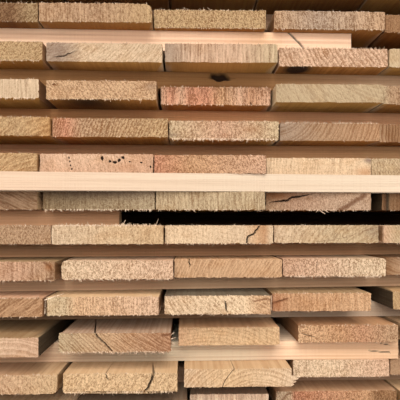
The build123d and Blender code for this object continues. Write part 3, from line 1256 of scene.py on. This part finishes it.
# End grain is a little darker than the long faces
END_TINT = (0.91, 0.95, 0.97)
END_RING_TINT = (0.56, 0.40, 0.28)
END_BROAD_TINT = (0.84, 0.68, 0.50)
PIT_TINT = (0.46, 0.33, 0.23)
TUFT_TINT = (1.28, 1.32, 1.36)
FACE_WORN_TINT = (0.86, 0.76, 0.64)
FACE_RING_TINT = (0.62, 0.46, 0.34)
FACE_PALE_TINT = (1.12, 1.14, 1.16)
FIBRE_TINT = (0.55, 0.42, 0.32)
WEATHER_TINT = (0.60, 0.55, 0.48)
# How finely growth rings wobble, per metre, how far in metres, and how their spacing varies
WOBBLE_SCALE = 38.0
WOBBLE_REACH = 0.008
SPACING_SCALE = 110.0
SPACING_SHIFT = 2.6
# Where in a growth ring the wood gets darker, and where it gets pale again
RING_RISE = (0.20, 0.82)
RING_FALL = (0.86, 1.0)
WOOD_SHINE = 0.2
# Fine and broad flecks of the ends, and fibres, streaks, patches and saw marks of the long faces
END_FINE = (860.0, 90.0, 640.0)
END_BROAD = (26.0, 4.0, 50.0)
FACE_FIBRE = (760.0, 8.0, 760.0)
FACE_STREAK = (150.0, 2.2, 150.0)
FACE_BROAD = (14.0, 3.0, 14.0)
FACE_SAW = (9.0, 300.0, 9.0)


class Graph:
    """Short ways to add nodes to a material"""

    def __init__(self, name):
        self.material = bpy.data.materials.new(name)
        self.material.use_nodes = True
        self.tree = self.material.node_tree
        self.shader = self.tree.nodes["Principled BSDF"]

    def add(self, kind, values=(), **settings):
        """Adds a node, with values or links for its first inputs"""
        node = self.tree.nodes.new(kind)
        for key, value in settings.items():
            setattr(node, key, value)
        for value, socket in zip(values, node.inputs):
            self.link(value, socket)
        return node

    def link(self, value, socket):
        if isinstance(value, bpy.types.NodeSocket):
            self.tree.links.new(value, socket)
        elif value is not None:
            socket.default_value = value

    def attribute(self, name, output="Vector"):
        return self.add("ShaderNodeAttribute", attribute_name=name).outputs[output]

    def split(self, vector):
        return self.add("ShaderNodeSeparateXYZ", [vector]).outputs

    def join(self, x, y, z):
        return self.add("ShaderNodeCombineXYZ", [x, y, z]).outputs[0]

    def math(self, operation, a, b=None):
        return self.add("ShaderNodeMath", [a, b], operation=operation).outputs[0]

    def limited(self, value, factor=1.0):
        """A value times a factor, kept between 0 and 1"""
        node = self.add("ShaderNodeMath", [value, factor], operation="MULTIPLY", use_clamp=True)
        return node.outputs[0]

    def times(self, *values):
        return reduce(lambda one, other: self.math("MULTIPLY", one, other), values)

    def plus(self, *values):
        return reduce(lambda one, other: self.math("ADD", one, other), values)

    def vector(self, operation, a, b=None):
        node = self.add("ShaderNodeVectorMath", [a, b], operation=operation)
        return node.outputs["Value"] if operation == "LENGTH" else node.outputs[0]

    def noise(self, vector, detail=2.0, rough=0.5, output="Fac"):
        node = self.add("ShaderNodeTexNoise")
        entries = {"Vector": vector, "Scale": 1.0, "Detail": detail, "Roughness": rough}
        for key, value in entries.items():
            self.link(value, node.inputs[key])
        return node.outputs[output]

    def span(self, value, low, high, to_low=0.0, to_high=1.0, smooth=False):
        kind = "SMOOTHSTEP" if smooth else "LINEAR"
        values = [value, low, high, to_low, to_high]
        return self.add("ShaderNodeMapRange", values, interpolation_type=kind).outputs[0]

    def mix(self, share, a, b, blend="MIX"):
        node = self.add("ShaderNodeMix", data_type="RGBA", blend_type=blend)
        self.link(share, node.inputs["Factor"])
        self.link(a, node.inputs[6])
        self.link(b, node.inputs[7])
        return node.outputs[2]

    def tint(self, tone, factors):
        return self.mix(1.0, tone, (*factors, 1.0), "MULTIPLY")

    def bump(self, height, distance):
        node = self.add("ShaderNodeBump")
        self.link(height, node.inputs["Height"])
        node.inputs["Distance"].default_value = distance
        node.inputs["Strength"].default_value = 1.0
        return node.outputs[0]


class Wood(Graph):
    """What the two wood materials share"""

    def __init__(self, name, wobble_along):
        super().__init__(name)
        self.place = self.attribute("place")
        self.tone = self.attribute("tone", "Color")
        self.rings, self.speckle, self.worn = self.split(self.attribute("grain"))
        self.dark, self.grey, self.warm = self.split(self.attribute("marks"))
        self.knot = self.attribute("knot", "Fac")
        self.late = self.growth_rings(wobble_along)

    def growth_rings(self, wobble_along):
        """From 0 in the pale early wood to 1 in the dark late wood, round the tree's heart"""
        heart_x, heart_z, ring = self.split(self.attribute("heart"))
        scaled = self.vector("MULTIPLY", self.place, (WOBBLE_SCALE, wobble_along, WOBBLE_SCALE))
        drift = self.vector("SUBTRACT", self.noise(scaled, output="Color"), (0.5, 0.5, 0.5))
        wobble = self.vector("MULTIPLY", drift, (WOBBLE_REACH, 0.0, WOBBLE_REACH))
        x, _, z = self.split(self.vector("ADD", self.place, wobble))
        from_heart = self.join(self.math("SUBTRACT", x, heart_x), 0.0, self.math("SUBTRACT", z, heart_z))
        radius = self.vector("LENGTH", from_heart)
        uneven = self.noise(self.join(self.times(radius, SPACING_SCALE), 0.0, 0.0))
        turns = self.plus(self.math("DIVIDE", radius, ring), self.times(uneven, SPACING_SHIFT))
        part = self.math("FRACT", turns)
        rise = self.span(part, *RING_RISE, smooth=True)
        fall = self.span(part, *RING_FALL, 1.0, 0.0, smooth=True)
        return self.times(rise, fall)

    def fleck(self, scales, detail=2.0, rough=0.5):
        """Noise with its own scale along X, Y and Z, per metre"""
        return self.noise(self.vector("MULTIPLY", self.place, scales), detail, rough)

    def paint(self, colour, share, factors):
        """Mixes the tinted tone over a colour"""
        return self.mix(share, colour, self.tint(self.tone, factors))

    def paint_marks(self, colour):
        """Stains, warm patches, knots, holes and cracks over a colour; the dark of open cracks and holes is
        painted shade, as are a few patches
        """
        edge = self.span(self.knot, 0.15, 0.6, smooth=True)
        heart = self.span(self.knot, 0.75, 1.0, smooth=True)
        colour = self.paint(colour, self.limited(self.grey), GREY_TINT)
        colour = self.paint(colour, self.limited(self.warm), WARM_TINT)
        colour = self.paint(colour, self.times(edge, 0.8), STREAK_TINT)
        colour = self.paint(colour, self.times(heart, 0.5), KNOT_TINT)
        # Painted shade in cracks and holes and under the top course, and dark stained lines
        return self.mix(self.limited(self.dark, 0.95), colour, SHADE_AND_STAIN_COLOUR)

    def finish(self, colour, height, distance, roughness):
        self.link(colour, self.shader.inputs["Base Color"])
        self.shader.inputs["Roughness"].default_value = roughness
        # Rough sawn wood throws much of the light back to where it comes from
        self.shader.inputs["Diffuse Roughness"].default_value = 1.0
        self.shader.inputs["Specular IOR Level"].default_value = WOOD_SHINE
        self.link(self.bump(height, distance), self.shader.inputs["Normal"])
        return self.material


def end_grain():
    """The rough cut ends"""
    g = Wood("end_grain", 2.0)
    g.tone = g.tint(g.tone, END_TINT)
    cos, sin, saw = g.split(g.attribute("cut"))
    x, y, z = g.split(g.place)
    across = g.math("SUBTRACT", g.times(x, cos), g.times(z, sin))
    along = g.plus(g.times(x, sin), g.times(z, cos))
    stripes = g.noise(g.join(g.times(across, 400.0), g.times(y, 9.0), g.times(along, 26.0)), 2.0, 0.65)
    coarse = g.noise(g.join(g.times(across, 440.0), g.times(y, 20.0), g.times(along, 250.0)), 3.0, 0.75)
    fine = g.fleck(END_FINE, 2.0, 0.6)
    broad = g.fleck(END_BROAD)
    ring_share = g.times(g.late, g.rings, g.span(broad, 0.35, 0.65, 0.5, 1.1))
    colour = g.paint(g.tone, g.limited(ring_share), END_RING_TINT)
    colour = g.paint(colour, g.times(g.span(broad, 0.5, 0.72), 0.35), END_BROAD_TINT)
    # The blunt saw tears the soft wood: dark pits and pale tufts
    torn = g.plus(g.times(g.plus(coarse, -0.5), 1.3), g.times(g.plus(fine, -0.5), 1.0))
    torn = g.times(torn, g.speckle, 2.1)
    torn = g.plus(torn, g.times(g.plus(stripes, -0.5), saw, 1.5), g.times(g.late, g.rings, -0.10))
    colour = g.paint(colour, g.span(torn, -0.02, -0.36, 0.0, 0.8), PIT_TINT)
    colour = g.paint(colour, g.span(torn, 0.02, 0.34, 0.0, 0.9), TUFT_TINT)
    height = g.plus(g.times(torn, 1.3), g.times(g.late, 0.2), g.times(fine, 0.5))
    return g.finish(g.paint_marks(colour), height, 0.0006, 0.85)


def sawn_face():
    """The long faces, with grain along their length and the marks of the saw across it"""
    g = Wood("sawn_face", 1.3)
    fibre = g.fleck(FACE_FIBRE, 3.0, 0.6)
    streak = g.fleck(FACE_STREAK, 3.0, 0.55)
    broad = g.fleck(FACE_BROAD)
    saw = g.fleck(FACE_SAW, 2.0, 0.6)
    body = g.paint(g.tone, g.worn, FACE_WORN_TINT)
    colour = g.paint(body, g.limited(g.times(g.late, g.rings), 0.6), FACE_RING_TINT)
    streaky = g.span(g.rings, 0.0, 0.5, 0.15, 0.5)
    colour = g.paint(colour, g.times(g.span(streak, 0.46, 0.72), streaky), FACE_RING_TINT)
    colour = g.mix(g.span(streak, 0.46, 0.28, 0.0, 0.5), colour, g.tint(body, FACE_PALE_TINT))
    colour = g.paint(colour, g.span(fibre, 0.52, 0.80, 0.0, 0.3), FIBRE_TINT)
    weathered = g.times(g.span(broad, 0.42, 0.70), g.worn)
    colour = g.paint(colour, g.times(weathered, 0.7), WEATHER_TINT)
    saw_share = g.times(g.span(saw, 0.52, 0.75), g.plus(g.worn, 0.15), 0.3)
    colour = g.paint(colour, saw_share, FACE_RING_TINT)
    height = g.plus(g.times(saw, 0.9), fibre, g.times(g.late, 0.3))
    return g.finish(g.paint_marks(colour), height, 0.0008, 0.8)


# The boards and the stickers

HIDDEN_TONES = ("cream", "straw", "tan", "pink", "rose", "orange", "pale", "sand", "amber", "gold")
NEW_STICKS = ("cream", "pink", "rose", "pale", "gold")
# Dark tones of the inner stickers, which paint the shade in the voids between the courses
INNER_SHADE_STICKS = ("brown", "umber", "ochre", "olive")
# The whole underside of the course above the photographed ends is in shade
SHADED = Patch(76, 60, 400, 500, 0.55)
# Sizes of the triangles of an end, and of the cells of the far ends
CELL = 2.0 * MM
HIDDEN_CELL = 4.0 * MM
BOARD_FAR_CELLS = (38, 6)
STICK_FAR_CELLS = (8, 5)
STICK_CELLS = 6
# Rows up the sides of a sticker that has cracks or holes, of a front one and of a hidden one
STICK_ROWS = (20, 8, 4)
# How far apart the rings along a front and a hidden sticker are, and those at its marks
FRONT_STEP = 0.02
HIDDEN_STEP = 0.08
MARK_STEP = 1.3
BOARD_RINGS = 18
# The first and last rings of a board, from its near and far end, and those of a sticker, in metres
FIRST_RING, LAST_RING = 0.06, 0.05
STICK_FIRST, STICK_LAST = 0.03, 0.02
# How far, in mm, the closer rings go past a crack and a hole, and how far they keep off the end
PAST_CRACK, PAST_HOLE, OFF_END = 4, 3, 12
SEED_STEP = 20
BOARD_SEED = 1000
FRONT_SEED = 2000
INNER_SEED = 3000


def hidden_look(seed):
    """A look for a board that the photo doesn't show"""
    rng = np.random.default_rng(seed)
    left, right = rng.choice(HIDDEN_TONES, 2)
    side, level = rng.choice([-1, 1], 2)
    return Look(
        f"0 {left}, 150 {right}",
        heart=(side * rng.uniform(0, 180), level * rng.uniform(30, 160)),
        ring=rng.uniform(3.5, 7),
        rings=rng.uniform(0.15, 0.8),
        speckle=rng.uniform(0.3, 1.1),
        saw=rng.uniform(0.2, 0.9),
        lean=rng.uniform(-30, 30),
        torn_low=rng.gamma(2.0, 0.3),
        torn_high=rng.gamma(2.0, 0.2),
    )


def plain_stick(seed, names):
    """A look for a sticker that the photo hardly shows, in two of the named tones"""
    rng = np.random.default_rng(seed)
    left, right = rng.choice(names, 2)
    rings = rng.uniform(0.2, 0.5)
    heart = (rng.uniform(-30, 30), rng.choice([-50, 50]))
    return Look(f"200 {left}, 900 {right}", rings=rings, speckle=0.4, heart=heart, worn=0.15)


def finish_piece(sawn, name, node, materials):
    piece = sawn.build(name, materials)
    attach(piece, BODY)
    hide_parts(node)


def make_course(course, materials):
    """The boards of one course"""
    node = f"boards_{course:02d}"
    sawn = Sawn()
    for index, outline in enumerate(timber_corners(node, False)):
        seed = BOARD_SEED + course * SEED_STEP + index
        look = LOOKS.get((course, index + 1)) or hidden_look(seed)
        if course == 1:
            # Nothing hangs below the boards that lie on the floor
            look.torn_low = 0.0
        if course == COURSES - 1:
            look.under = (SHADED,)
        timber = Timber(sawn, outline, board_charts(index), look, seed)
        timber.inner = (index > 0, index < BOARDS - 1)
        stations = np.linspace(FIRST_RING, timber.length - LAST_RING, BOARD_RINGS)
        timber.build(CELL, stations, *BOARD_FAR_CELLS)
    finish_piece(sawn, f"board_course_{course:02d}", node, materials)


def stick_stations(look, length, step):
    """Where the rings along a sticker are, closer together at its cracks and holes"""
    stations = list(np.arange(STICK_FIRST, length - STICK_LAST, step))
    for crack in look.face_cracks:
        spots = [point[0] for point in crack.points]
        stop = min(max(spots) + PAST_CRACK, length / MM - OFF_END)
        stations += list(np.arange(min(spots) - PAST_CRACK, stop, MARK_STEP) * MM)
    for hole in look.face_holes:
        reach = hole.wide + PAST_HOLE
        stations += list(np.arange(hole.x - reach, hole.x + reach, MARK_STEP) * MM)
    return sorted(set(stations))


def make_sticks(node, name, shown, materials, seed):
    """The stickers of one node, with coarser meshes where they are hidden"""
    sawn = Sawn()
    outlines = timber_corners(node, True)
    front = len(outlines) == 1
    marked_rows, front_rows, hidden_rows = STICK_ROWS
    for index, outline in enumerate(outlines):
        number = seed + index
        look = shown or plain_stick(number, NEW_STICKS if front else INNER_SHADE_STICKS)
        timber = Timber(sawn, outline, stick_charts(index, len(outlines)), look, number, True)
        timber.cells = STICK_CELLS
        timber.side_rows = front_rows if front else hidden_rows
        if look.face_cracks or look.face_holes:
            timber.side_rows = marked_rows
        stations = stick_stations(look, timber.length, FRONT_STEP if front else HIDDEN_STEP)
        timber.build(CELL if front else HIDDEN_CELL, stations, *STICK_FAR_CELLS)
    finish_piece(sawn, name, node, materials)


# The camera, the lights and the floor

EYE = Vector((-0.0614, -2.252, 0.379))
YAW = math.radians(2.0)
FOCAL_PIXELS = 740
FRAME_PIXELS = 400
SENSOR = 36
SHIFT_X = -12.8 / FRAME_PIXELS
SHIFT_Y = 22 / FRAME_PIXELS
CLIP_NEAR = 0.05
CLIP_FAR = 100
# Name, place, target, size and power of each soft lamp: in front and a little above, behind, and left
LAMPS = (
    ("key", (-0.1, -4.4, 1.8), (0, -1.25, 0.4), (2.2, 2.9), 150),
    ("back", (1.5, 4.6, 2.2), (0, 1.2, 0.4), (3.0, 2.0), 130),
    ("left", (-4.4, 1.4, 1.8), (0, 0.4, 0.4), (2.6, 1.6), 70),
)
WORLD_STRENGTH = 0.26
WORLD_COLOUR = (1, 1, 1, 1)
FLOOR_REACH = 14
FLOOR_COLOUR = (0.60, 0.60, 0.59, 1)
FLOOR_ROUGHNESS = 0.9


def make_camera():
    data = bpy.data.cameras.new("camera")
    data.sensor_width = SENSOR
    data.lens = FOCAL_PIXELS / FRAME_PIXELS * SENSOR
    data.shift_x = SHIFT_X
    data.shift_y = SHIFT_Y
    data.clip_start = CLIP_NEAR
    data.clip_end = CLIP_FAR
    camera = link_object("camera", data)
    camera.location = EYE
    camera.rotation_euler = (math.pi / 2, 0, -YAW)
    bpy.context.scene.camera = camera


def add_area(name, place, target, size, power):
    data = bpy.data.lights.new(name, "AREA")
    data.shape = "RECTANGLE"
    data.size, data.size_y = size
    data.energy = power
    lamp = link_object(name, data)
    lamp.location = place
    lamp.rotation_euler = (Vector(target) - Vector(place)).to_track_quat("-Z", "Y").to_euler()


def make_floor():
    mesh = bpy.data.meshes.new("floor")
    corners = [(x * FLOOR_REACH, y * FLOOR_REACH, 0) for x, y in ((-1, -1), (1, -1), (1, 1), (-1, 1))]
    mesh.from_pydata(corners, [], [(0, 1, 2, 3)])
    g = Graph("floor")
    g.shader.inputs["Base Color"].default_value = FLOOR_COLOUR
    g.shader.inputs["Roughness"].default_value = FLOOR_ROUGHNESS
    mesh.materials.append(g.material)
    floor = link_object("floor", mesh)


def make_stage():
    """A pale floor and plain studio light"""
    make_floor()
    for lamp in LAMPS:
        add_area(*lamp)
    world = bpy.data.worlds.new("world")
    bpy.context.scene.world = world
    world.use_nodes = True
    background = world.node_tree.nodes["Background"]
    background.inputs["Color"].default_value = WORLD_COLOUR
    background.inputs["Strength"].default_value = WORLD_STRENGTH


def main():
    bpy.context.scene.view_settings.view_transform = "Standard"
    make_camera()
    make_stage()
    materials = [end_grain(), sawn_face()]
    for course in range(1, COURSES + 1):
        make_course(course, materials)
    for course in range(1, COURSES):
        node = f"front_sticker_{course:02d}"
        name = f"front_stick_{course:02d}"
        make_sticks(node, name, STICK_LOOKS.get(course), materials, FRONT_SEED + course * SEED_STEP)
    for line in range(2, LINES + 1):
        node = f"sticker_line_{line}"
        make_sticks(node, f"stick_line_{line}", None, materials, INNER_SEED + line * SEED_STEP)


main()
